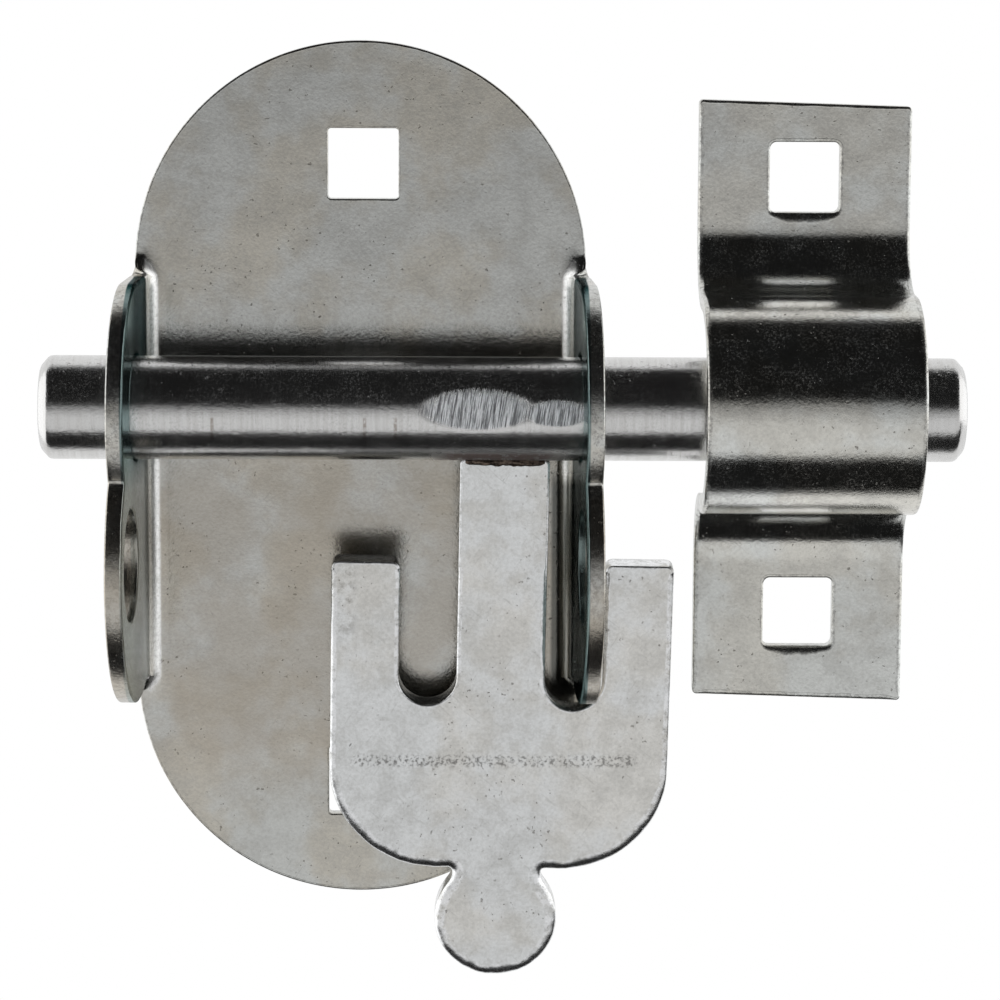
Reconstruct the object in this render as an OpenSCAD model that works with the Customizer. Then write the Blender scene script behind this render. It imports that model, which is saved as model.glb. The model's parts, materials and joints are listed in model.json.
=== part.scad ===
// Oval padbolt: a round bolt that slides through the two ears of an oval back plate, a forked
// hasp welded to the bolt that drops over an ear to be padlocked, and a separate keeper.
// Millimetres. +X is the way the bolt is thrown, +Z is up and -Y is the front. The backs of the
// plate and the keeper lie on Y = 0, and the bolt's axis runs along X in front of the origin.
// Every height is measured from Y = 0 towards the front, and every depth down from the axis.

/* [Sheet] */
// Thickness of the back plate and its ears
plate_t = 2; // [1.8:0.1:2.2]
// Thickness of the keeper strip
keeper_t = 2; // [1.8:0.1:2.2]
// Thickness of the hasp
hasp_t = 3; // [2.6:0.1:3.2]
// Inner radius of the bend between plate and ear
bend_r = 2; // [1.8:0.1:2.6]

/* [Back plate] */
// Radius of the plate's two round ends
plate_r = 26.6; // [26.2:0.1:27]
// Height of the upper round end's centre above the bolt's axis
upper_arc_z = 15.2; // [15:0.1:18]
// Depth of the lower round end's centre
lower_arc_z = 33.8; // [33.6:0.1:36]
// Side of each square hole for a coach bolt
square_side = 8.3; // [8:0.1:8.7]
// Height of the upper square hole above the bolt's axis
plate_hole_up = 27.4; // [26:0.1:30]
// Depth of the lower square hole
plate_hole_down = 46.8; // [46:0.1:49]
// How far right of the middle the plate's square holes are punched
plate_hole_x = 0.3; // [0:0.1:0.5]

/* [Ears] */
// Half the distance over the two ears where they leave their bends
ear_half = 27.2; // [27:0.1:27.4]
// How far each ear springs outward from square, in degrees
ear_splay = 2.4; // [1:0.2:2.6]
// Radius of the upper lobe, round the bolt
upper_lobe_r = 14.2; // [13.8:0.1:14.4]
// Radius of the lower lobe, round the padlock eye
lower_lobe_r = 16.4; // [16:0.1:16.5]
// Depth of the lower lobe's centre
lower_lobe_z = 18.4; // [18:0.1:18.6]
// Height of both lobes' centres
lobe_y = 12.4; // [12.2:0.1:12.6]
// Diameter of the padlock eye
eye_d = 13; // [11:0.5:13]
// Depth of the padlock eye's centre
eye_z = 17.6; // [17:0.1:18]
// Height of the padlock eye's centre
eye_y = 19.6; // [19.4:0.1:20]

/* [Bolt] */
// Diameter of the round bar
bolt_d = 12; // [11.8:0.1:12]
// Length of the bar
bolt_len = 106.4; // [104:0.1:108]
// How far the bar's left end stands from the middle of the plate
bolt_left = 36.5; // [36:0.1:38]
// Height of the bolt's axis
bolt_y = 14; // [13.9:0.1:14.2]
// Chamfer on the bar's ends
bolt_chamfer = 1; // [0.5:0.1:1.5]
// Diameter of the bolt's hole in each ear
ear_bore_d = 12.5; // [12.4:0.1:12.8]

/* [Hasp] */
// How far the hasp leans back from upright, in degrees
hasp_lean = 8; // [7:0.5:8]
// How far the hasp is welded out of square, in degrees
hasp_skew = 0.8; // [0:0.1:1]
// Distance of the hasp's middle from the middle of the plate, at the bolt's axis
hasp_x = 17.1; // [17:0.1:17.4]
// Width over the three prongs
hasp_w = 40; // [39.8:0.1:40.4]
// Width of the middle prong
prong_w = 10.4; // [10:0.1:10.6]
// Width of each slot between the prongs
slot_w = 6.8; // [6.6:0.1:7]
// Distance from the bolt's axis to the tips of the outer prongs
prong_top = 18.4; // [17.6:0.1:18.6]
// Distance from the bolt's axis to the bottom of the slots
slot_end = 36.4; // [36.2:0.1:36.8]
// Distance from the bolt's axis to the hasp's lower edge
shoulder_end = 56.7; // [56:0.1:57]
// Radius of the two lower shoulders
shoulder_r = 12.6; // [11:0.1:13]
// Width of the neck above the thumb knob
neck_w = 10.6; // [10:0.1:11]
// Radius of the thumb knob
knob_r = 7.3; // [7:0.1:7.6]
// Distance from the bolt's axis to the middle of the thumb knob
knob_s = 63.2; // [62.8:0.1:63.6]
// Radius of the weld bead in each corner between hasp and bolt
bead_r = 0.7; // [0.6:0.1:1]

/* [Keeper] */
// Width of the keeper strip
keeper_w = 25; // [24:0.5:26]
// Distance of the keeper's left edge from the middle of the plate
keeper_x = 39.8; // [39.5:0.1:42]
// Outer radius of the arch
arch_r = 12.8; // [12.4:0.1:12.8]
// Height of the arch's centre
arch_y = 11.2; // [11.2:0.1:11.6]
// Front radius of the bend between arch and foot
foot_bend_r = 7.1; // [6:0.1:7.2]
// How far the upper foot reaches above the bolt's axis
foot_up = 34.7; // [34:0.1:36]
// How far the lower foot reaches below the bolt's axis
foot_down = 36.4; // [35:0.1:38]
// Distance of each foot's square hole from the bolt's axis
keeper_hole = 26; // [25.6:0.1:26.4]

/* [Hidden] */

$fn = 96;
zinc = [0.66, 0.66, 0.64];
bright_zinc = [0.76, 0.77, 0.77];
weld_tint = [0.42, 0.36, 0.31];

hole_corner = 0.4;
relief = 0.5;
ear_top = upper_lobe_r;
ear_foot = lower_arc_z;
bend_axis_y = plate_t + bend_r;
bend_x = ear_half - plate_t - bend_r;
bolt_r = bolt_d / 2;
weld_gap = 0.03;
prong_start = bolt_r - 2;
tip_r = 0.9;
bead_inset = 0.5;
bead_stand = 0.2;
slot_x = (prong_w + slot_w) / 2;
shoulder_x = hasp_w / 2 - shoulder_r;
shoulder_s = shoulder_end - shoulder_r;
leg_y = keeper_t + foot_bend_r;
leg_z = arch_r + foot_bend_r;
far = 100;

// Stands an outline of X and Z up behind Y = 0's front side, to a height of depth
module stand(depth) {
    rotate([90, 0, 0]) linear_extrude(depth) children();
}

// Lays an outline of Y and Z along X, from X = 0 to X = width
module along_x(width) {
    rotate([90, 0, 90]) linear_extrude(width) children();
}

// A round bar or hole of radius r along the bolt's axis, from X = x to X = x + length
module bolt_line(r, x, length) {
    translate([x, -bolt_y, 0]) rotate([0, 90, 0]) cylinder(h = length, r = r);
}

// A square hole's outline, with slightly rounded corners
module square_hole() {
    inner = square_side - 2 * hole_corner;
    square([square_side, inner], center = true);
    square([inner, square_side], center = true);
    for (sx = [-1, 1], sz = [-1, 1]) translate([sx, sz] * inner / 2) circle(hole_corner);
}

// The plate's flat face: round at both ends, and cut back to the bend lines between the ears
module plate_outline() {
    difference() {
        union() {
            translate([0, upper_arc_z]) circle(plate_r);
            translate([0, -lower_arc_z]) circle(plate_r);
            translate([-plate_r, -lower_arc_z])
                square([2 * plate_r, upper_arc_z + lower_arc_z]);
        }
        for (side = [-1, 1]) translate([side * (bend_x + plate_r / 2), (ear_top - ear_foot) / 2])
            square([plate_r, ear_top + ear_foot + 2 * relief], center = true);
        translate([plate_hole_x, plate_hole_up]) square_hole();
        translate([plate_hole_x, -plate_hole_down]) square_hole();
    }
}

// The flat of an ear, drawn in front of its bend's axis: two lobes on a straight foot
module ear_outline() {
    lobe_x = bend_axis_y - lobe_y;
    intersection() {
        union() {
            translate([lobe_x, 0]) circle(upper_lobe_r);
            translate([lobe_x, -lower_lobe_z]) circle(lower_lobe_r);
            translate([lobe_x, -ear_foot]) square([-lobe_x, ear_foot + ear_top]);
        }
        translate([-far, -far / 2]) square([far, far]);
    }
}

// The right-hand ear with its bend, before its holes are punched
module ear() {
    translate([bend_x, -bend_axis_y, 0]) rotate([0, 0, ear_splay]) {
        translate([0, 0, -ear_foot]) rotate_extrude(angle = 90 - ear_splay)
            translate([bend_r, 0]) square([plate_t, ear_foot + ear_top]);
        translate([bend_r, 0, 0]) along_x(plate_t) ear_outline();
    }
}

module back_plate() {
    color(zinc) difference() {
        union() {
            stand(plate_t) plate_outline();
            ear();
            mirror([1, 0, 0]) ear();
        }
        bolt_line(ear_bore_d / 2, -far / 2, far);
        translate([-far / 2, -eye_y, -eye_z]) rotate([0, 90, 0]) cylinder(h = far, d = eye_d);
    }
}

module bolt() {
    c = bolt_chamfer;
    color(bright_zinc) translate([-bolt_left, -bolt_y, 0]) rotate([0, 90, 0]) {
        cylinder(h = c, r1 = bolt_r - c, r2 = bolt_r);
        translate([0, 0, c]) cylinder(h = bolt_len - 2 * c, r = bolt_r);
        translate([0, 0, bolt_len - c]) cylinder(h = c, r1 = bolt_r, r2 = bolt_r - c);
    }
}

// Puts something drawn under the bolt's axis where the hasp hangs
module hang() {
    translate([hasp_x, -bolt_y, 0]) rotate([hasp_lean, 0, 0]) rotate([0, hasp_skew, 0])
        children();
}

// The tip of an outer prong, rounded at both corners, of width w and down to the slot's bottom
module prong(w) {
    for (side = [-1, 1]) translate([side * (w / 2 - tip_r), -prong_top - tip_r]) circle(tip_r);
    translate([-w / 2 + tip_r, -slot_end]) square([w - 2 * tip_r, slot_end - prong_top]);
    translate([-w / 2, -slot_end]) square([w, slot_end - prong_top - tip_r]);
}

// The hasp's outline below the bolt's axis: three prongs, round shoulders, neck and thumb knob
module hasp_outline() {
    outer_w = (hasp_w - prong_w) / 2 - slot_w;
    slot_s = slot_end - slot_w / 2;
    difference() {
        union() {
            for (side = [-1, 1]) {
                translate([side * (hasp_w - outer_w) / 2, 0]) prong(outer_w);
                translate([side * shoulder_x, -shoulder_s]) circle(shoulder_r);
            }
            translate([-hasp_w / 2, -shoulder_s]) square([hasp_w, shoulder_s - slot_s]);
            translate([-shoulder_x, -shoulder_end]) square([2 * shoulder_x, shoulder_r]);
            translate([-prong_w / 2, -slot_end]) square([prong_w, slot_end - prong_start]);
            translate([-neck_w / 2, -knob_s + knob_r - 2]) square([neck_w, shoulder_r]);
            translate([0, -knob_s]) circle(knob_r);
        }
        for (side = [-1, 1]) translate([side * slot_x, -slot_s]) {
            circle(slot_w / 2);
            translate([-slot_w / 2, 0]) square([slot_w, slot_s]);
        }
    }
}

module hasp() {
    color(bright_zinc) difference() {
        hang() translate([0, hasp_t / 2, 0]) stand(hasp_t) hasp_outline();
        bolt_line(bolt_r + weld_gap, -far / 2, far);
    }
}

// The two beads that close the corners between the middle prong and the bolt
module hasp_weld() {
    length = prong_w - 2 * bead_inset;
    color(weld_tint) difference() {
        hang() for (side = [-1, 1])
            translate([-length / 2, side * (hasp_t / 2 + bead_stand), -bolt_r - bead_stand])
                rotate([0, 90, 0]) cylinder(h = length, r = bead_r);
        hang() translate([-prong_w, -hasp_t / 2, -far / 2]) cube([2 * prong_w, hasp_t, far]);
        bolt_line(bolt_r + weld_gap, -far / 2, far);
    }
}

// The keeper seen end on: an arch on two straight legs that bend out into flat feet
module keeper_profile() {
    translate([-arch_y, 0]) difference() {
        circle(arch_r);
        circle(arch_r - keeper_t);
        translate([0, -far / 2]) square([far, far]);
    }
    for (side = [0, 1]) mirror([0, side]) {
        reach = side == 0 ? foot_up : foot_down;
        translate([-arch_y, arch_r - keeper_t]) square([arch_y - leg_y, keeper_t]);
        translate([-keeper_t, leg_z]) square([keeper_t, reach - leg_z]);
        intersection() {
            translate([-leg_y, leg_z]) difference() {
                circle(foot_bend_r + keeper_t);
                circle(foot_bend_r);
            }
            translate([-leg_y, leg_z - far]) square([far, far]);
        }
    }
}

module keeper() {
    color(zinc) difference() {
        translate([keeper_x, 0, 0]) along_x(keeper_w) keeper_profile();
        for (side = [-1, 1])
            translate([keeper_x + keeper_w / 2, keeper_t / 2, side * keeper_hole])
                stand(2 * keeper_t) square_hole();
    }
}

back_plate();
bolt();
hasp();
hasp_weld();
keeper();
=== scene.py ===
"""Looks of the oval padbolt: pressed back plate, round bar, forked hasp, weld and keeper strip.

Shapes are worked out in millimetres in the CAD frame and stored in metres. Each sheet piece starts
as a flat blank with rounded edges, which a function then bends to shape.
"""

import json
import math

import bpy
import numpy as np
from mathutils import Matrix, Vector, noise
from mathutils.geometry import delaunay_2d_cdt


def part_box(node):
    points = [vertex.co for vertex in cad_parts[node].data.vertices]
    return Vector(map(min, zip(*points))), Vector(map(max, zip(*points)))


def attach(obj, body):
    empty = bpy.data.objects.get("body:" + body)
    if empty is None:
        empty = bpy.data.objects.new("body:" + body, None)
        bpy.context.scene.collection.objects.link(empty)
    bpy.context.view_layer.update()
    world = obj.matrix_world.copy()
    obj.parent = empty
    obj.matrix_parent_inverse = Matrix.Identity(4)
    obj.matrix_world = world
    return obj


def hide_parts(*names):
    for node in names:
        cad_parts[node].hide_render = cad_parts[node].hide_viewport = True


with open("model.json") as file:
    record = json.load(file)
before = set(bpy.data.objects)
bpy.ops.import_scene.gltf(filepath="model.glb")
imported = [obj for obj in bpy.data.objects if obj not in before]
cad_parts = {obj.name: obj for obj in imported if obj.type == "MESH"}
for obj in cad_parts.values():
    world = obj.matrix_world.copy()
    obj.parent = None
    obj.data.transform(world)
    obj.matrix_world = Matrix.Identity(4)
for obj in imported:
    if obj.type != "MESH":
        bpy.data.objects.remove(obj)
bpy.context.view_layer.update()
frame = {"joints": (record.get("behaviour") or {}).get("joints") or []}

MM = 0.001
SHEET_T = 2.0
SQUARE = 8.3


def in_mm(metres):
    """Places in the frame, in millimetres to the nearest hundredth."""
    return np.round(np.array(metres) / MM, 2)


# The hasp turns about the bar's axis, at the middle of its middle prong
HINGE = next(joint for joint in frame["joints"] if joint["name"] == "hasp_turn")
HASP_X, BAR_Y, _ = in_mm(HINGE["pos_m"])


# ---------------------------------------------------------------- outlines

HOLE_STEP = 0.4
SAME_POINT = 1e-4
# Share of the free room inside an outline that its rolled edge may take
SAFE = 0.8


def corner_arc(before, corner, after, step, turn):
    """Points that round a corner (x, y, radius), at most step millimetres and turn degrees apart."""
    p = np.array(corner[:2], float)
    r = corner[2]
    if r == 0:
        return [p]
    back = np.array(before[:2]) - p
    on = np.array(after[:2]) - p
    back, on = back / np.linalg.norm(back), on / np.linalg.norm(on)
    half = math.acos(np.clip(back @ on, -1, 1)) / 2
    middle = (back + on) / np.linalg.norm(back + on)
    centre = p + middle * r / math.sin(half)
    first = p + back * r / math.tan(half) - centre
    sweep = math.pi - 2 * half
    if back[0] * on[1] - back[1] * on[0] > 0:
        sweep = -sweep
    count = max(2, math.ceil(abs(sweep) / math.radians(turn)), math.ceil(r * abs(sweep) / step))
    arc = []
    for k in range(count + 1):
        a = sweep * k / count
        c, s = math.cos(a), math.sin(a)
        arc.append(centre + [c * first[0] - s * first[1], s * first[0] + c * first[1]])
    return arc


def rounded(corners, step=0.6, turn=11):
    """Closed outline through corners (x, y, radius), as points at most step apart."""
    befores = corners[-1:] + corners[:-1]
    afters = corners[1:] + corners[:1]
    arcs = [corner_arc(*three, step, turn) for three in zip(befores, corners, afters)]
    points = []
    for arc, following in zip(arcs, arcs[1:] + arcs[:1]):
        points += arc
        gap = following[0] - arc[-1]
        count = math.ceil(np.linalg.norm(gap) / step)
        points += [arc[-1] + gap * k / count for k in range(1, count)]
    kept = [points[0]]
    for p in points[1:]:
        if min(np.linalg.norm(p - kept[-1]), np.linalg.norm(p - points[0])) > SAME_POINT:
            kept.append(p)
    return np.array(kept)


def arc_points(x, y, r, start, end, step=0.5):
    """Corners without rounding along a circle, from one angle to another in degrees."""
    count = math.ceil(abs(math.radians(end - start)) * r / step)
    angles = np.radians(np.linspace(start, end, count + 1))
    return [(x + r * math.cos(a), y + r * math.sin(a), 0) for a in angles]


def square_hole(x, y, corner):
    h = SQUARE / 2
    places = ((-h, -h), (-h, h), (h, h), (h, -h))
    return rounded([(x + across, y + up, corner) for across, up in places], HOLE_STEP)


def round_hole(x, y, r):
    return np.array(arc_points(x, y, r, 360, 0, HOLE_STEP)[:-1])[:, :2]


def free_room(long, turn):
    """How far in each of a loop's points can go before it meets its neighbours, from the lengths
    of the loop's steps and its turns. It changes slowly from point to point."""
    room = SAFE * (long + np.roll(long, -1)) / 2 / np.maximum(turn, 1e-3)
    slope, passes = 0.3, 30
    for _ in range(passes):
        room = np.minimum(room, np.roll(room, 1) + slope * long)
        room = np.minimum(room, np.roll(room + slope * long, -1))
    return room


def inward(loop):
    """For each of a loop's points, the vector that leads into the sheet, longer where the outline
    turns, and the free room along it."""
    along = loop - np.roll(loop, 1, 0)
    long = np.linalg.norm(along, axis=1)
    along /= long[:, None]
    left = np.stack([-along[:, 1], along[:, 0]], 1)
    on = np.roll(left, -1, 0)
    both = left + on
    both /= np.linalg.norm(both, axis=1)[:, None]
    turn = np.arctan2(left[:, 0] * on[:, 1] - left[:, 1] * on[:, 0], (left * on).sum(1))
    least_cosine = 0.6
    cosine = np.maximum((both * left).sum(1), least_cosine)
    return both / cosine[:, None], free_room(long, turn)


def inside(points, loops, block=4000):
    """Which points lie in the sheet, by counting outline crossings, a block of points at a time."""
    odd = np.zeros(len(points), bool)
    for loop in loops:
        following = np.roll(loop, -1, 0)
        run, rise = (following - loop).T
        rise = np.where(rise == 0, 1e-12, rise)
        for start in range(0, len(points), block):
            p = points[start : start + block]
            crosses = (loop[None, :, 1] > p[:, None, 1]) != (following[None, :, 1] > p[:, None, 1])
            at = loop[:, 0] + (p[:, None, 1] - loop[:, 1]) * run / rise
            odd[start : start + block] ^= (crosses & (p[:, None, 0] < at)).sum(1) % 2 == 1
    return odd


# ---------------------------------------------------------------- meshes

BACK_ROLL = 0.22
# How much further in than its roll a sheet's flat face begins, and the grid inside it
FACE_MARGIN = 0.1
GRID_MARGIN = 0.6


def ease(x):
    """0 below 0, 1 above 1, and smooth between."""
    x = np.clip(x, 0, 1)
    return x * x * (3 - 2 * x)


def wobble(points, size, seed=0.0):
    """Smooth noise between -1 and 1 at each flat point, with bumps of that size in millimetres."""
    return np.array([noise.noise(Vector((x / size, y / size, seed))) for x, y in points])


def new_piece(name, body, node, verts, faces, material, edge=None):
    """Links a smooth mesh as a piece in a CAD node's place. edge says for each vertex how far it is
    on a cut edge."""
    mesh = bpy.data.meshes.new(name)
    mesh.from_pydata([tuple(v) for v in verts * MM], [], faces)
    if edge is not None:
        mesh.attributes.new("edge", "FLOAT", "POINT").data.foreach_set("value", edge)
    mesh.update()
    mesh.polygons.foreach_set("use_smooth", [True] * len(mesh.polygons))
    mesh.materials.append(material)
    piece = bpy.data.objects.new(name, mesh)
    bpy.context.collection.objects.link(piece)
    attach(piece, body)
    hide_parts(node)


def tube_faces(rings, around, first=0):
    """Quads between rings that have the same number of points around."""
    faces = []
    for here in range(first, first + around * (rings - 1), around):
        there = here + around
        for k in range(around):
            n = (k + 1) % around
            faces.append((here + n, here + k, there + k, there + n))
    return faces


def edge_section(count=12):
    """How far in from the wall and down from the face a stamped edge runs, for a roll of 1. It
    rolls over slowly to about 40 degrees, and then turns sharply into the wall."""
    t = (np.arange(count) + 0.5) / count
    slope = np.radians(40 * t**1.2 + 50 * t**14)
    across, down = np.cumsum(np.cos(slope)), np.cumsum(np.sin(slope))
    return [(1.0, 0.0)] + list(zip(1 - across / across[-1], down / across[-1]))


def edge_rings(roll, room, thickness):
    """Rings round a sheet's edge from its front face to its back face: how far in each point lies,
    and how high above the back."""
    section = edge_section()
    wall_top = thickness - roll * section[-1][1]
    back_roll = np.minimum(BACK_ROLL, SAFE * room)
    quarter = np.radians(np.linspace(0, 90, 4))
    rings = [(np.minimum(roll + FACE_MARGIN, room), thickness + 0 * roll)]
    rings += [(roll * across, thickness - roll * down) for across, down in section]
    rings += [(0 * roll, wall_top + (back_roll - wall_top) * k / 3) for k in (1, 2)]
    rings += [(back_roll * (1 - math.cos(a)), back_roll * (1 - math.sin(a))) for a in quarter]
    return rings + [(np.minimum(back_roll + FACE_MARGIN, room), 0 * roll)]


def uneven(rim, roll, room):
    """A roll that varies a little along the rim and stays within the free room."""
    roll = roll * (1 + 0.25 * wobble(rim, 2.5, 3.1) + 0.12 * wobble(rim, 0.8, 5.7))
    return np.minimum(roll, SAFE * room)


def inner_grid(us, vs, loops, rim, roll):
    """The grid points that lie in the sheet and well clear of its rolled edges."""
    grid = np.stack(np.meshgrid(us, vs), -1).reshape(-1, 2)
    grid = grid[inside(grid, loops)]
    clear = []
    for part in np.array_split(grid, 20):
        far = np.sqrt(((part[:, None] - rim[None]) ** 2).sum(2))
        clear.append((far - roll).min(1))
    return grid[np.concatenate(clear) > GRID_MARGIN]


def rim_edges(loops):
    """Index pairs along loops whose points are numbered one after the other."""
    edges = []
    first = 0
    for loop in loops:
        edges += [(first + i, first + (i + 1) % len(loop)) for i in range(len(loop))]
        first += len(loop)
    return edges


def triangles(flat, loops, edges):
    """Triangles over flat points that cross none of the edges and lie within the loops."""
    out = delaunay_2d_cdt([Vector(p) for p in flat], edges, [], 0, 1e-7)
    sources = [source[0] for source in out[3]]
    tris = np.array([[sources[i] for i in tri] for tri in out[2]])
    return tris[inside(flat[tris].mean(1), loops)]


def sheet(loops, thickness, rolls, us, vs, place, wave=0.03):
    """Vertices, faces and edge marks of a sheet: loops are its outline and holes, rolls gives for
    each loop how far its front edge is rolled, us and vs are the lines of the grid inside, place
    bends the blank, and wave is how far its faces are out of flat."""
    rim = np.concatenate(loops)
    into, room = (np.concatenate(part) for part in zip(*[inward(loop) for loop in loops]))
    roll = np.concatenate([np.broadcast_to(r, len(loop)) for r, loop in zip(rolls, loops)])
    roll = uneven(rim, roll, room)
    rings = edge_rings(roll, room, thickness)
    grid = inner_grid(us, vs, loops, rim, roll)
    flat = np.concatenate([rim + into * rings[0][0][:, None], grid])
    edges = rim_edges(loops)
    count = len(rim)
    face_loops = np.split(flat[:count], np.cumsum([len(loop) for loop in loops])[:-1])
    tris = triangles(flat, face_loops, edges).tolist()

    uv = np.concatenate([rim + into * inset[:, None] for inset, _ in rings] + [grid, grid])
    height = np.concatenate([h for _, h in rings] + [np.full(len(grid), thickness), np.zeros(len(grid))])
    height = np.maximum(height + wave * wobble(uv, 9.0) + 0.4 * wave * wobble(uv, 3.5, 8.0), 0)
    marks = [0.0, 0.0, 0.5] + [1.0] * (len(rings) - 5) + [0.5, 0.0]
    edge = np.concatenate([np.repeat(marks, count), np.zeros(2 * len(grid))])

    # The front face joins the first ring to the front grid, and the back face the last ring
    last = count * (len(rings) - 1)
    faces = [tuple(i if i < count else i + last for i in tri) for tri in tris]
    faces += [tuple(i + last if i < count else i + last + len(grid) for i in tri[::-1]) for tri in tris]
    for here in range(0, last, count):
        there = here + count
        faces += [(b + here, a + here, a + there, b + there) for a, b in edges]
    return place(uv[:, 0], uv[:, 1], height), faces, edge


# ---------------------------------------------------------------- back plate

PLATE_R = 26.6
UPPER_ARC = 15.17
LOWER_ARC = -33.8
PLATE_HOLE_X = 0.3
PLATE_HOLES = (27.4, -46.8)
EAR_TOP = 14.2
EAR_FOOT = -33.8
EYE_Z = -17.6
EYE_R = 6.5
BAR_HOLE_R = 6.25
BEND_X = 23.2
BEND_R = 2.0
BEND_TURN = math.radians(90 - 2.4)
BEND_LONG = (BEND_R + SHEET_T / 2) * BEND_TURN
# In the blank: where an ear begins beyond its bend, and the centres of its holes and of its lobes
EAR_U = BEND_X + BEND_LONG
BAR_HOLE_U = EAR_U + 10.01
EYE_U = EAR_U + 15.61
LOBE_U = EAR_U + 8.4
# How far beyond an ear's ends the sheet is bent with it, and drawn sideways
DRAW_REACH = 2.4
DRAW_SIDE = 1.2


def ear_corners():
    """The right ear's outline in the blank, from its foot round to its top: a lobe round the eye
    and a smaller one round the bar's hole."""
    lower = arc_points(LOBE_U, -18.4, 16.4, -110.1, 42.2)
    upper = arc_points(LOBE_U, 0, EAR_TOP, -31.2, 90)
    return [(PLATE_R, EAR_FOOT, 0.5)] + lower[:-1] + upper + [(PLATE_R, EAR_TOP, 0.7)]


def plate_loops():
    """The blank's outline, its two square holes and the ears' four round ones."""
    right = arc_points(0, LOWER_ARC, PLATE_R, -90, -2) + ear_corners()
    right += [(PLATE_R, UPPER_ARC + PLATE_R, PLATE_R)]
    left = [(-x, y, r) for x, y, r in reversed(right)]
    holes = [square_hole(PLATE_HOLE_X, z, 0.4) for z in PLATE_HOLES]
    for side in (-1, 1):
        holes.append(round_hole(side * BAR_HOLE_U, 0, BAR_HOLE_R))
        holes.append(round_hole(side * EYE_U, EYE_Z, EYE_R))
    return [rounded(right + left)] + holes


def bend_plate(u, v, w):
    """Bends the ears up. Just beyond an ear's ends the sheet is drawn along with it."""
    out = np.abs(u)
    beyond = np.where(out > PLATE_R + 1, 0, np.maximum(v - EAR_TOP, EAR_FOOT - v))
    share = 1 - ease(beyond / DRAW_REACH) + 1e-6
    run = np.clip(out - BEND_X, 0, BEND_LONG)
    radius = (BEND_R + SHEET_T / 2) / share
    turn = run / radius
    on = np.maximum(out - BEND_X - BEND_LONG, 0)
    rise = radius * (1 - np.cos(turn)) + on * np.sin(turn)
    off = w - SHEET_T / 2
    x = np.minimum(out, BEND_X) + radius * np.sin(turn) + on * np.cos(turn) - off * np.sin(turn)
    y = -SHEET_T / 2 - rise - off * np.cos(turn)
    x += (out - x) * ease(beyond / DRAW_SIDE)
    return np.stack([np.sign(u) * x, y, v], 1)


def plate_lines():
    """Grid lines across the blank, close together where it is bent."""
    wide, close = 1.4, 0.4
    flat = np.arange(0.6, BEND_X - 0.3, wide)
    bend = np.arange(BEND_X - 0.3, EAR_U + 0.5, close)
    ear = np.arange(EAR_U + 1.5, EAR_U + 24, wide)
    half = np.concatenate([flat, bend, ear])
    return np.concatenate([-half[::-1], half])


def back_plate(material):
    """One pressing: the oval plate with its two ears bent up."""
    loops = plate_loops()
    on_ear = np.abs(loops[0][:, 0]) > PLATE_R + 0.5
    rolls = [np.where(on_ear, 0.55, 0.3)] + [0.25] * 2 + [0.4] * 4
    heights = np.arange(-60, 42, 1.3)
    verts, faces, edge = sheet(loops, SHEET_T, rolls, plate_lines(), heights, bend_plate)
    new_piece("plate_pressing", "plate_body", "back_plate", verts, faces, material, edge)


# ---------------------------------------------------------------- bar

(BAR_LEFT, _, _), (BAR_RIGHT, _, _) = in_mm(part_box("bolt"))
BAR_R = 6.0
# Each end's flat face and rounded chamfer: how far from the end, and the radius there
FACE = ((0, 0.0), (0, 3.0), (0, 4.3))
CHAMFER = FACE + ((0.02, 4.75), (0.15, 5.02), (0.85, 5.8), (1.1, 5.94), (1.5, BAR_R))
# Each hand-ground flat's middle X, half length, middle Z and half height
FLATS = ((13.8, 6.2, 0.55, 2.3), (22.9, 3.6, 0.2, 1.5))


def ground_radius(x, a, r):
    """What the flats leave of the bar's radius, at an angle from its front."""
    for middle, half, z, half_z in FLATS:
        reach = 1 - ((x - middle) / half) ** 2
        facing = math.cos(a - z / BAR_R)
        level = BAR_R - half_z**2 / (2 * BAR_R) * math.sqrt(max(reach, 0))
        if facing > 0 and r * facing > level:
            r = level / facing
    return r


def bar(material):
    """A drawn bar turned about its axis, with rounded chamfers and two hand-ground flats."""
    middle = np.arange(BAR_LEFT + 2, BAR_RIGHT - 1.8, 0.55)
    sections = [(BAR_LEFT + far, r) for far, r in CHAMFER]
    sections += [(x, BAR_R) for x in middle]
    sections += [(BAR_RIGHT - far, r) for far, r in reversed(CHAMFER)]
    around, unevenness = 120, 0.012
    verts = []
    for x, radius in sections:
        for k in range(around):
            a = 2 * math.pi * k / around
            c, s = math.cos(a), math.sin(a)
            r = radius
            if radius == BAR_R:
                r -= unevenness * (1 + noise.noise(Vector((x / 5, 2 * c, 2 * s))))
                r = ground_radius(x, a, r)
            verts.append((x, BAR_Y - r * c, r * s))
    faces = tube_faces(len(sections), around)
    new_piece("round_bar", "bolt_body", "bolt", np.array(verts), faces, material)


# ---------------------------------------------------------------- hasp

HASP_T = 3.0
HASP_LEAN = math.radians(8)
HASP_SKEW = math.radians(0.8)
TURNED = Matrix.Rotation(HASP_LEAN, 4, "X") @ Matrix.Rotation(HASP_SKEW, 4, "Y")
HANG = Matrix.Translation((HASP_X, BAR_Y, 0)) @ TURNED
# In the hasp's own frame, whose height is 0 at the bar's axis
HASP_HALF = 20.0
MIDDLE_HALF = 5.2
MIDDLE_TOP = -5.7
PRONG_TOP = -18.4
SLOT_W = 6.8
LEFT_SLOT_END = -36.0
RIGHT_SLOT_END = -36.4
SHOULDER = -56.7
SHOULDER_R = 12.6
NECK_HALF = 5.3
KNOB = -63.2
KNOB_R = 7.3
BEAD_HALF = 4.6
BEAD_R = 0.42
BEAD_OFF = 1.55
BEAD_Z = -6.02


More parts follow.
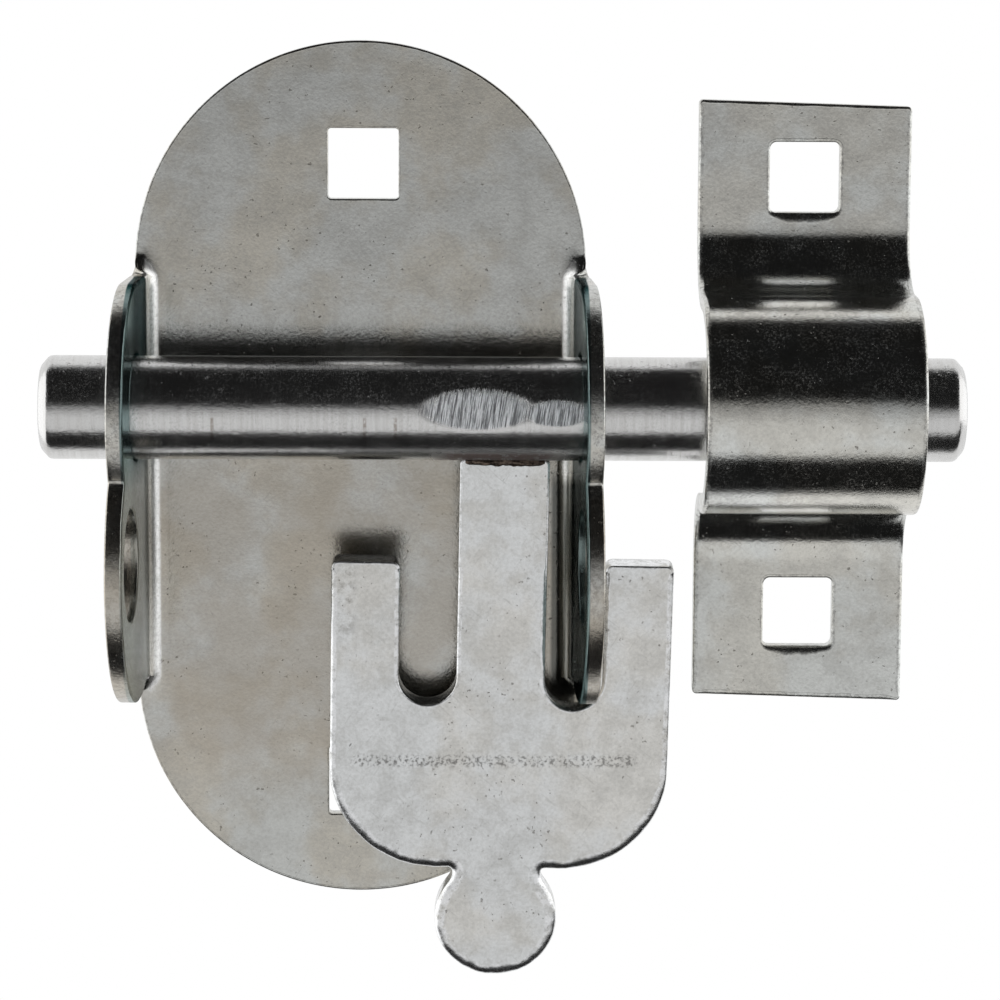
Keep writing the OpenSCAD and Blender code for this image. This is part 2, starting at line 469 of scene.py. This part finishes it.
def hang(x, y, z):
    """From the hasp's own frame, hung under the bar's axis, to the CAD frame."""
    rows = np.array(HANG)
    return np.stack([x, y, z], 1) @ rows[:3, :3].T + rows[:3, 3]


def hasp_side(slot_end):
    """Corners of the left side, from the middle prong round the left one to the neck."""
    slot_out = MIDDLE_HALF + SLOT_W
    slot_r = SLOT_W / 2 - 0.001
    return [
        (-MIDDLE_HALF, MIDDLE_TOP, 0.7),
        (-MIDDLE_HALF, slot_end, slot_r),
        (-slot_out, slot_end, slot_r),
        (-slot_out, PRONG_TOP, 0.9),
        (-HASP_HALF, PRONG_TOP, 0.9),
        (-HASP_HALF, SHOULDER, SHOULDER_R),
        (-NECK_HALF, SHOULDER, 0.55),
    ]


def hasp_loop():
    """The hasp's outline: both sides and the round knob between them."""
    open_turn = math.degrees(math.asin(NECK_HALF / KNOB_R))
    knob = arc_points(0, KNOB, KNOB_R, 90 + open_turn, 450 - open_turn, 0.4)
    right = [(-x, y, r) for x, y, r in reversed(hasp_side(RIGHT_SLOT_END))]
    return rounded(hasp_side(LEFT_SLOT_END) + knob + right, 0.5)


def soften(loop, low, times=3):
    """Evens out the sharp turns of a loop below a level."""
    for _ in range(times):
        mean = (np.roll(loop, 1, 0) + np.roll(loop, -1, 0) + 2 * loop) / 4
        loop = np.where((loop[:, 1] < low)[:, None], mean, loop)
    return loop


def hasp_roll(loop):
    """How far the front edge is rolled: least at the prongs' ends, most round the shoulders."""
    across, height = loop.T
    in_slot = (np.abs(across) < MIDDLE_HALF + SLOT_W + 0.5) & (height > -37)
    slot_roll = 0.6 - 0.25 * ease((-height - 32.5) / 2)
    side_roll = 0.75 + 0.7 * ease((-height - 42) / 10)
    return np.where(height > PRONG_TOP - 0.8, 0.35, np.where(in_slot, slot_roll, side_roll))


def hang_sheet(u, v, w):
    return hang(u, HASP_T / 2 - w, v)


def hasp(material):
    """A forked plate with rolled edges, hung from the bar by its middle prong."""
    loop = soften(hasp_loop(), SHOULDER - 0.2)
    us, vs = np.arange(-19.5, 20, 1.1), np.arange(-70, -5, 1.1)
    verts, faces, edge = sheet([loop], HASP_T, [hasp_roll(loop)], us, vs, hang_sheet, 0.035)
    new_piece("forked_hasp", "hasp_body", "hasp", verts, faces, material, edge)


def weld(material):
    """Two uneven beads in the corners between the middle prong and the bar."""
    around, steps = 16, 40
    verts, faces = [], []
    for side in (-1, 1):
        first = len(verts)
        for i in range(steps + 1):
            x = -BEAD_HALF + 2 * BEAD_HALF * i / steps
            fade = math.sqrt(max(0.02, 1 - abs(x / (BEAD_HALF + 0.1)) ** 6))
            for k in range(around):
                a = 2 * math.pi * k / around
                c, s = math.cos(a), math.sin(a)
                lump = 0.24 * noise.noise(Vector((x / 0.7, side * 4 + c, s)))
                r = (BEAD_R + lump) * fade
                verts.append((x, side * BEAD_OFF + r * c, BEAD_Z + r * s))
        faces += [face[::-1] for face in tube_faces(steps + 1, around, first)]
        end = range(first, first + around)
        faces.append(tuple(reversed(end)))
        faces.append(tuple(k + steps * around for k in end))
    verts = hang(*np.array(verts).T)
    new_piece("weld_beads", "hasp_body", "hasp_weld", verts, faces, material)


# ---------------------------------------------------------------- keeper

(KEEPER_LEFT, _, KEEPER_LOW), (KEEPER_RIGHT, _, KEEPER_HIGH) = in_mm(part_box("keeper"))
KEEPER_SKEW = math.tan(math.radians(1.7))
KEEPER_HOLE_Z = 26.0
KEEPER_HOLE_CORNER = 0.8
FOOT_BEND = 8.1
ARCH = 11.8
ARCH_Z = 0.2
LEG = 22 - ARCH - FOOT_BEND
# Distances along the strip's middle line from its upper end to where each stretch begins
FOOT_BEND_S = KEEPER_HIGH - ARCH_Z - ARCH - FOOT_BEND
LEG_S = FOOT_BEND_S + FOOT_BEND * math.pi / 2
ARCH_S = LEG_S + LEG
LOWER_LEG_S = ARCH_S + ARCH * math.pi
LOWER_BEND_S = LOWER_LEG_S + LEG
LOWER_FOOT_S = LOWER_BEND_S + FOOT_BEND * math.pi / 2
KEEPER_LONG = LOWER_FOOT_S - KEEPER_LOW + ARCH_Z - ARCH - FOOT_BEND


def bend_keeper(x, up, w):
    """Bends the strip, whose height is the negative distance along its middle line."""
    s = -up
    bend = np.clip((s - FOOT_BEND_S) / FOOT_BEND, 0, math.pi / 2)
    arch = np.clip((s - ARCH_S) / ARCH, 0, math.pi)
    lower = np.clip((s - LOWER_BEND_S) / FOOT_BEND, 0, math.pi / 2)
    y, z = np.full_like(s, -SHEET_T / 2), KEEPER_HIGH - np.minimum(s, FOOT_BEND_S)
    y, z = y - FOOT_BEND * (1 - np.cos(bend)), z - FOOT_BEND * np.sin(bend)
    y = y - np.clip(s - LEG_S, 0, LEG)
    y, z = y - ARCH * np.sin(arch), z - ARCH * (1 - np.cos(arch))
    y = y + np.clip(s - LOWER_LEG_S, 0, LEG)
    y, z = y + FOOT_BEND * np.sin(lower), z - FOOT_BEND * (1 - np.cos(lower))
    z = z - np.maximum(s - LOWER_FOOT_S, 0)
    turn = bend - arch + lower
    off = w - SHEET_T / 2
    return np.stack([x, y - off * np.cos(turn), z + off * np.sin(turn)], 1)


def keeper_outline(middle):
    """The strip's outline, cut out of square at both ends, and its front edge's roll."""
    ends = [(KEEPER_LEFT, -KEEPER_LONG), (KEEPER_RIGHT, -KEEPER_LONG), (KEEPER_RIGHT, 0), (KEEPER_LEFT, 0)]
    outline = rounded([(x, y, 0.5) for x, y in ends])
    roll = 0.6 - 0.2 * (outline[:, 1] > -0.5)
    at_end = np.abs(outline[:, 1] + KEEPER_LONG / 2) > KEEPER_LONG / 2 - 0.6
    outline[:, 1] += KEEPER_SKEW * (middle - outline[:, 0]) * at_end
    return outline, roll


def keeper(material):
    """A strip bent into an arch with two feet, each with a square hole."""
    middle = (KEEPER_LEFT + KEEPER_RIGHT) / 2
    outline, roll = keeper_outline(middle)
    hole_ss = (KEEPER_HIGH - KEEPER_HOLE_Z, KEEPER_LONG + KEEPER_LOW + KEEPER_HOLE_Z)
    holes = [square_hole(middle, -s, KEEPER_HOLE_CORNER) for s in hole_ss]
    rolls = [roll]
    for hole in holes:
        low = ease((hole[:, 1].mean() - hole[:, 1] - 3.4) / 0.6)
        rolls.append(0.4 + 0.9 * low * ease(1.3 - np.abs(hole[:, 0] - middle) / 4))
    us, vs = np.arange(KEEPER_LEFT + 0.8, KEEPER_RIGHT, 1.2), np.arange(-KEEPER_LONG, 0, 0.6)
    verts, faces, edge = sheet([outline] + holes, SHEET_T, rolls, us, vs, bend_keeper)
    new_piece("keeper_strip", "keeper_body", "keeper", verts, faces, material, edge)


# ---------------------------------------------------------------- materials


class Graph:
    """Node tree helper: a socket given as a value is linked, anything else is set."""

    def __init__(self, tree):
        self.tree = tree
        tree.nodes.clear()

    def node(self, kind, inputs, **settings):
        made = self.tree.nodes.new(kind)
        for key, value in settings.items():
            setattr(made, key, value)
        for key, value in inputs.items():
            if isinstance(value, bpy.types.NodeSocket):
                self.tree.links.new(value, made.inputs[key])
            else:
                made.inputs[key].default_value = value
        return made

    def add(self, kind, inputs, out=0, **settings):
        return self.node(kind, inputs, **settings).outputs[out]

    def finish(self, kind, shader):
        self.tree.links.new(shader, self.tree.nodes.new(kind).inputs[0])

    def axes(self, at):
        return self.node("ShaderNodeSeparateXYZ", {"Vector": at}).outputs

    def math(self, operation, a, b=0.0, c=0.0):
        return self.add("ShaderNodeMath", {0: a, 1: b, 2: c}, operation=operation)

    def plus(self, a, b):
        return self.math("ADD", a, b)

    def minus(self, a, b):
        return self.math("SUBTRACT", a, b)

    def times(self, first, *others):
        for other in others:
            first = self.math("MULTIPLY", first, other)
        return first

    def without(self, share):
        """What a share leaves of 1."""
        return self.minus(1.0, share)

    def noise(self, at, scale, detail=2.0, rough=0.5):
        inputs = {"Vector": at, "Scale": scale, "Detail": detail, "Roughness": rough}
        return self.add("ShaderNodeTexNoise", inputs)

    def stretch(self, at, scale, turn=0.0):
        """Scales a place along axes that are turned about Y."""
        inputs = {"Vector": at, "Scale": [1 / s for s in scale], "Rotation": (0, turn, 0)}
        return self.add("ShaderNodeMapping", inputs, vector_type="TEXTURE")

    def ramp(self, value, low, high):
        """0 at low, 1 at high, and smooth between."""
        return self.add("ShaderNodeMapRange", {0: value, 1: low, 2: high}, interpolation_type="SMOOTHSTEP")

    def between(self, share, low, high):
        return self.add("ShaderNodeMapRange", {0: share, 3: low, 4: high})

    def near(self, value, middle, half, soft):
        """1 where value is within half of middle, falling to 0 over soft."""
        off = self.math("ABSOLUTE", self.minus(value, middle))
        return self.without(self.ramp(off, half, half + soft))

    def mix(self, share, a, b):
        return self.add("ShaderNodeMix", {0: share, 6: a, 7: b}, out=2, data_type="RGBA")

    def stain(self, colour, mask, strength, other):
        """A colour that turns to another by up to strength where the mask is 1."""
        return self.mix(self.times(mask, strength), colour, other)

    def bump(self, height, distance, normal=None):
        inputs = {"Height": height, "Strength": 1.0, "Distance": distance * MM}
        if normal is not None:
            inputs["Normal"] = normal
        return self.add("ShaderNodeBump", inputs)


def rgb(r, g, b):
    return (r, g, b, 1.0)


WHITE = rgb(1, 1, 1)
SHADE = rgb(0.38, 0.375, 0.355)
SCRATCH = rgb(0.25, 0.245, 0.23)
PIT = rgb(0.16, 0.14, 0.12)
TORN = rgb(0.16, 0.155, 0.15)
TAN = rgb(0.44, 0.385, 0.31)
# Blue-green film inside the ears, painted dark as shade, and its painted grazing reflection, darker near
# the plate and lighter further out
FILM_AND_SHADE = rgb(0.12, 0.19, 0.195)
PAINTED_GLANCE_DARK = rgb(0.06, 0.11, 0.115)
PAINTED_GLANCE_LIGHT = rgb(0.55, 0.7, 0.7)
HASP_SHADOW = rgb(0.09, 0.095, 0.09)
# Painted highlight on the plate's bends
HIGHLIGHT_LOW = rgb(0.7, 0.7, 0.68)
HIGHLIGHT_HIGH = rgb(0.97, 0.97, 0.96)
# Worn hasp edges, brightened also as a painted highlight
WORN_AND_HIGHLIGHT = rgb(0.97, 0.98, 1.0)
SMUDGE = rgb(0.25, 0.24, 0.22)
NICK = rgb(0.15, 0.14, 0.13)
BAR_LIGHT = rgb(0.7, 0.7, 0.695)
BAR_DARK = rgb(0.63, 0.625, 0.615)
STROKE_DARK = rgb(0.2, 0.2, 0.21)
STROKE_LIGHT = rgb(0.96, 0.97, 1.0)
BROWN_STAIN = rgb(0.22, 0.17, 0.13)
HEAT = rgb(0.1, 0.06, 0.05)
BAR_PIT = rgb(0.14, 0.13, 0.12)
WELD_DARK = rgb(0.05, 0.04, 0.035)
WELD_BROWN = rgb(0.26, 0.2, 0.16)


def start_material(name):
    """A new material, its graph and the place on the piece in millimetres."""
    material = bpy.data.materials.new(name)
    material.use_nodes = True
    g = Graph(material.node_tree)
    metres = g.add("ShaderNodeTexCoord", {}, out=3)
    return material, g, g.stretch(metres, [1 / MM] * 3)


def finish_material(g, colour, rough, normal, metal=1.0, grazing=WHITE):
    inputs = {
        "Base Color": colour,
        "Metallic": metal,
        "Roughness": rough,
        "Normal": normal,
        "Specular Tint": grazing,
    }
    g.finish("ShaderNodeOutputMaterial", g.add("ShaderNodeBsdfPrincipled", inputs))


def dull_specks(g, at, share):
    """Metallic value that dips in fine specks, so they show in dark reflections."""
    cloud = g.ramp(g.noise(at, 3.6, 2.0, 0.6), 0.45, 0.8)
    grain = g.times(cloud, g.ramp(g.noise(at, 0.35, 3.0, 0.6), 0.3, 0.7))
    spots = g.ramp(g.noise(at, 1.1, 3.0, 0.7), 0.68, 0.74)
    specks = g.math("MAXIMUM", g.times(grain, share), g.times(spots, 2.2 * share))
    return g.without(specks)


def scratches(g, at, turn):
    """Fine straight scratches in one direction."""
    return g.ramp(g.noise(g.stretch(at, (0.22, 1.0, 4.0), turn), 1.0, 2.0), 0.66, 0.74)


def tiny_pits(g, at):
    """Fine pits that gather in some places."""
    return g.times(g.ramp(g.noise(at, 2.1, 1.0), 0.7, 0.75), g.ramp(g.noise(at, 0.16, 2.0), 0.4, 0.6))


def zinc_base(g, at, light, warm, grain, tear=0.5):
    """What all the plated sheets share: their colour, roughness and normal, and the fine noise and
    the edge mark behind them. grain is the bumps' height in millimetres, and tear is how dark the
    torn spots of the cut edges are."""
    fine = g.noise(at, 2.4, 4.0, 0.75)
    cloud = g.noise(at, 0.3, 4.0, 0.6)
    pits = tiny_pits(g, at)
    edge = g.add("ShaderNodeAttribute", {}, out=2, attribute_name="edge")
    torn = g.times(edge, g.ramp(g.noise(at, 1.6, 4.0, 0.8), 0.45, 0.62))

    colour = g.mix(g.ramp(g.noise(at, 0.075, 4.0, 0.6), 0.44, 0.6), light, warm)
    shade = g.plus(g.ramp(fine, 0.3, 0.75), g.ramp(cloud, 0.35, 0.7))
    colour = g.stain(colour, shade, 0.29, SHADE)
    for turn in (0.7, -1.0):
        colour = g.stain(colour, scratches(g, at, turn), 0.2, SCRATCH)
    colour = g.stain(colour, pits, 0.55, PIT)
    colour = g.stain(colour, torn, tear, TORN)

    rough = g.between(g.noise(at, 0.5, 3.0), 0.08, 0.17)
    rough = g.plus(rough, g.times(g.plus(pits, g.times(edge, 0.5)), 0.2))
    height = g.minus(g.plus(fine, cloud), g.times(pits, 0.6))
    height = g.plus(height, g.times(edge, g.noise(at, 1.3, 4.0, 0.7), 5.0 * tear * tear))
    return colour, rough, g.bump(height, grain), fine, edge


def sheet_material(name, light, warm):
    """Plain plated sheet."""
    material, g, at = start_material(name)
    colour, rough, normal, _, _ = zinc_base(g, at, light, warm, 0.018)
    finish_material(g, colour, rough, normal, dull_specks(g, at, 0.2))
    return material


def ear_film_and_shade(g, x, y, z):
    """Where the blue-green film lies inside the ears, painted dark there as shade: less on the left one's
    lower half.
    """
    film = g.times(g.near(g.math("ABSOLUTE", x), 25.7, 0.7, 0.2), g.ramp(y, -3.4, -4.4))
    plainer = g.times(g.math("LESS_THAN", x, 0.0), g.ramp(z, -4, -10))
    return g.times(film, g.without(g.times(plainer, 0.65)))


def plate_material():
    """Zinc with tan patches, a blue-green film inside the ears that is painted dark as shade, rough bends
    with painted highlights, and a painted shadow behind the hasp.
    """
    material, g, at = start_material("zinc_plate")
    light, warm = rgb(0.64, 0.65, 0.63), rgb(0.63, 0.6, 0.53)
    colour, rough, normal, fine, _ = zinc_base(g, at, light, warm, 0.018)
    x, y, z = g.axes(at)
    out = g.math("ABSOLUTE", x)
    tan = g.times(g.near(z, -27, 14, 12), g.ramp(g.noise(at, 0.1, 4.0, 0.6), 0.25, 0.55))
    colour = g.stain(colour, tan, 0.5, TAN)

    # Painted shade: the film darkens the ears' insides, and their grazing reflection is painted darker
    # near the plate and lighter towards the ears' fronts
    film = ear_film_and_shade(g, x, y, z)
    colour = g.stain(colour, film, 0.8, FILM_AND_SHADE)
    painted_glance = g.mix(g.ramp(y, -14, -21), PAINTED_GLANCE_DARK, PAINTED_GLANCE_LIGHT)
    grazing = g.mix(film, WHITE, painted_glance)

    # The bends get a painted highlight, but for the right one's part that lies behind the hasp, which gets
    # a painted shadow
    behind_hasp = g.times(g.math("GREATER_THAN", x, 0.0), g.ramp(z, -8, -11))
    # Painted shadow: the right bend is darkened where the hasp keeps the light off it
    dark = g.times(behind_hasp, g.near(out, 24.2, 1.2, 0.5))
    colour = g.stain(colour, dark, 0.8, HASP_SHADOW)
    bend_depth = g.times(g.ramp(y, -2.05, -2.2), g.ramp(y, -4.2, -3.4))
    bend = g.times(g.near(out, 24.5, 0.6, 0.9), bend_depth)
    bend = g.times(bend, g.without(behind_hasp))
    # Painted highlight: the bends' colour is brightened where they reflect the bright sides of the tent
    bright = g.mix(g.ramp(fine, 0.3, 0.6), HIGHLIGHT_LOW, HIGHLIGHT_HIGH)
    colour = g.mix(bend, colour, bright)
    rough = g.plus(rough, g.times(bend, 0.22))
    finish_material(g, colour, rough, normal, dull_specks(g, at, 0.12), grazing)
    return material


def scuff_line(g, at):
    """A ragged scuff across the hasp's front, below its slots."""
    x, y, z = g.axes(at)
    line = g.times(g.near(x, 16.0, 16.0, 1.5), g.math("LESS_THAN", y, -8.2))
    line = g.times(g.near(z, -42.7, 0.2, 0.9), line)
    return g.times(line, g.ramp(g.noise(at, 2.4, 4.0, 0.75), 0.5, 0.66))


def smudge(g, at):
    """A dark smudge near the left prong's top."""
    x, _, z = g.axes(at)
    ragged = g.ramp(g.noise(at, 0.9, 4.0, 0.7), 0.45, 0.65)
    return g.times(g.near(x, -1.6, 0.5, 1.4), g.times(g.near(z, -23.0, 3.0, 3.0), ragged))


def hasp_material():
    """Brighter zinc with worn edges that are also a painted highlight, a scuff line, nicks and a smudge.
    """
    material, g, at = start_material("zinc_hasp")
    light, warm = rgb(0.77, 0.785, 0.79), rgb(0.77, 0.76, 0.73)
    colour, rough, normal, _, edge = zinc_base(g, at, light, warm, 0.016, 0.35)
    # The rolled edges are worn and also brightened as a painted highlight
    worn = g.times(edge, g.ramp(g.noise(at, 0.9, 4.0, 0.7), 0.35, 0.6))
    colour = g.stain(colour, worn, 0.7, WORN_AND_HIGHLIGHT)
    colour = g.stain(colour, smudge(g, at), 0.45, SMUDGE)
    nicks = g.ramp(g.noise(g.stretch(at, (1.5, 1, 0.5), 0.6), 0.8, 2.0), 0.74, 0.79)
    marks = g.math("MAXIMUM", scuff_line(g, at), nicks)
    colour = g.stain(colour, marks, 0.6, NICK)
    normal = g.bump(g.times(marks, -1.0), 0.03, normal)
    finish_material(g, colour, rough, normal, dull_specks(g, at, 0.1))
    return material


def flat_marks(g, x, y, z, strokes):
    """Where the hand-ground flats are, with edges that the strokes make ragged."""
    ground = 0.0
    for middle, half, level, half_z in FLATS:
        along = g.math("POWER", g.math("DIVIDE", g.minus(x, middle), half), 2.0)
        up = g.math("POWER", g.math("DIVIDE", g.minus(z, level), half_z), 2.0)
        ragged = g.times(g.minus(strokes, 0.5), g.plus(2.0, z))
        off = g.plus(g.plus(along, up), ragged)
        ground = g.math("MAXIMUM", ground, g.without(g.ramp(off, 0.75, 1.15)))
    return g.times(ground, g.math("LESS_THAN", y, -16.0))


def bar_stains(g, at, x, z, colour):
    """Thin brown stains that run round the bar."""
    blots = g.ramp(g.noise(at, 1.8, 3.0, 0.7), 0.3, 0.6)
    for at_x in (-16.5, 0.9, 4.4):
        line = g.times(g.near(x, at_x, 0.08, 0.2), g.near(z, -1.7, 1.1, 0.4), blots)
        colour = g.stain(colour, line, 0.6, BROWN_STAIN)
    return colour


def bar_material():
    """Drawn bar with rings and lines, two ground flats, stains, pits and the weld's heat tint."""
    material, g, at = start_material("zinc_bar")
    x, y, z = g.axes(at)
    rings = g.noise(g.stretch(at, (2.2, 0.12, 0.12)), 1.0, 3.0, 0.6)
    drawn = g.noise(g.stretch(at, (0.1, 2.4, 2.4)), 1.0, 3.0, 0.6)
    strokes = g.noise(g.stretch(at, (5.5, 0.25, 0.25), 0.14), 1.0, 4.0, 0.75)
    cut = g.ramp(strokes, 0.4, 0.6)
    ground = flat_marks(g, x, y, z, strokes)
    ragged = g.ramp(g.noise(at, 0.8, 3.0, 0.6), 0.25, 0.5)
    heat = g.times(g.near(x, 16.2, 5.0, 4.0), g.ramp(z, -4.3, -5.0), ragged)
    pits = g.times(g.ramp(g.noise(at, 2.2, 3.0, 0.7), 0.58, 0.72), g.near(z, 4.9, 0.3, 0.8))

    colour = g.mix(g.ramp(rings, 0.3, 0.75), BAR_LIGHT, BAR_DARK)
    colour = g.mix(ground, colour, g.mix(cut, STROKE_DARK, STROKE_LIGHT))
    colour = bar_stains(g, at, x, z, colour)
    colour = g.stain(colour, heat, 0.9, HEAT)
    colour = g.stain(colour, pits, 0.5, BAR_PIT)

    rough = g.between(g.noise(at, 0.6, 3.0), 0.16, 0.26)
    rough = g.plus(rough, g.times(ground, 0.16))
    rough = g.plus(rough, g.times(heat, 0.25))
    metal = g.times(dull_specks(g, at, 0.22), g.without(g.times(heat, 0.85)))
    height = g.plus(g.plus(g.times(rings, 0.5), drawn), g.times(ground, cut, 8.0))
    lumps = g.minus(g.noise(at, 1.1, 4.0, 0.7), g.times(pits, 0.6))
    normal = g.bump(lumps, 0.035, g.bump(height, 0.006))
    finish_material(g, colour, rough, normal, metal)
    return material


def weld_material():
    """Dull dark weld, browner on its lumps."""
    material, g, at = start_material("weld")
    lumps = g.noise(at, 1.8, 4.0, 0.7)
    colour = g.mix(g.ramp(lumps, 0.35, 0.65), WELD_DARK, WELD_BROWN)
    finish_material(g, colour, g.between(lumps, 0.35, 0.6), g.bump(lumps, 0.08))
    return material


# ---------------------------------------------------------------- room

CAMERA_AT = (0.011492, -0.44769, 0.05663)
CAMERA_DOWN = math.radians(8.8231)
CAMERA_YAW = math.radians(0.6547)
CAMERA_ROLL = math.radians(0.2936)
CAMERA_LENS = 136.22
FLOOR_Z = -0.45
FLOOR_HALF = 4.0


def camera():
    """Looks from in front and a little above."""
    c, s = math.cos(CAMERA_DOWN), math.sin(CAMERA_DOWN)
    ahead = Vector((math.sin(CAMERA_YAW) * c, math.cos(CAMERA_YAW) * c, -s))
    right = Vector((math.cos(CAMERA_YAW), -math.sin(CAMERA_YAW), 0))
    up = right.cross(ahead)
    turned = math.cos(CAMERA_ROLL) * right + math.sin(CAMERA_ROLL) * up
    upright = math.cos(CAMERA_ROLL) * up - math.sin(CAMERA_ROLL) * right
    data = bpy.data.cameras.new("camera")
    data.lens = CAMERA_LENS
    data.sensor_width = 36
    data.clip_start = 0.01
    made = bpy.data.objects.new("camera", data)
    bpy.context.collection.objects.link(made)
    axes = Matrix((turned, upright, -ahead)).transposed().to_4x4()
    made.matrix_world = Matrix.Translation(CAMERA_AT) @ axes
    bpy.context.scene.camera = made


def tent_light(g):
    """The room's brightness in each direction. angle is taken about X: 0 in front and as high as
    the camera's tilt, 90 above, 180 behind and -90 below."""
    way = g.add("ShaderNodeTexCoord", {}, out=0)
    c, s = math.cos(CAMERA_DOWN), math.sin(CAMERA_DOWN)
    front = g.add("ShaderNodeVectorMath", {0: way, 1: (0, -c, s)}, out=1, operation="DOT_PRODUCT")
    above = g.add("ShaderNodeVectorMath", {0: way, 1: (0, s, c)}, out=1, operation="DOT_PRODUCT")
    angle = g.times(g.math("ARCTAN2", above, front), 180 / math.pi)
    panel = g.times(g.ramp(angle, -60, -55), g.ramp(angle, 3, -3))
    panel = g.times(panel, g.plus(0.31, g.times(g.ramp(angle, 0, -28), 0.42)))
    behind = g.times(g.ramp(angle, 96, 106), 0.92)
    beneath = g.times(g.ramp(angle, -103, -114), 0.9)
    x, _, z = g.axes(way)
    left = g.times(g.ramp(x, -0.62, -0.76), 1.4)
    right = g.times(g.ramp(x, 0.62, 0.76), 1.4, g.ramp(z, -0.36, -0.2))
    light = g.plus(0.01, panel)
    for part in (behind, beneath, left, right):
        light = g.math("MAXIMUM", light, part)
    return light


def studio():
    """A white tent that is open and dark in front, with a soft bright panel low in front."""
    world = bpy.data.worlds.new("studio")
    bpy.context.scene.world = world
    world.use_nodes = True
    g = Graph(world.node_tree)
    seen = g.add("ShaderNodeLightPath", {})
    shade = g.add("ShaderNodeMix", {0: seen, 2: tent_light(g), 3: 1.0}, data_type="FLOAT")
    background = g.add("ShaderNodeBackground", {"Color": WHITE, "Strength": shade})
    g.finish("ShaderNodeOutputWorld", background)
    bpy.context.scene.view_settings.view_transform = "Standard"


def floor():
    """A plain pale floor well below, which only the camera sees."""
    mesh = bpy.data.meshes.new("floor")
    corners = [(x * FLOOR_HALF, y * FLOOR_HALF, FLOOR_Z) for x, y in ((-1, -1), (1, -1), (1, 1), (-1, 1))]
    mesh.from_pydata(corners, [], [(0, 1, 2, 3)])
    material = bpy.data.materials.new("floor")
    material.use_nodes = True
    g = Graph(material.node_tree)
    seen = g.add("ShaderNodeLightPath", {})
    pale = g.add("ShaderNodeEmission", {"Color": WHITE, "Strength": 1.0})
    clear = g.add("ShaderNodeBsdfTransparent", {})
    g.finish("ShaderNodeOutputMaterial", g.add("ShaderNodeMixShader", {0: seen, 1: clear, 2: pale}))
    mesh.materials.append(material)
    made = bpy.data.objects.new("floor", mesh)
    bpy.context.collection.objects.link(made)


back_plate(plate_material())
bar(bar_material())
hasp(hasp_material())
weld(weld_material())
keeper(sheet_material("zinc_keeper", rgb(0.74, 0.755, 0.735), rgb(0.73, 0.715, 0.66)))
camera()
studio()
floor()
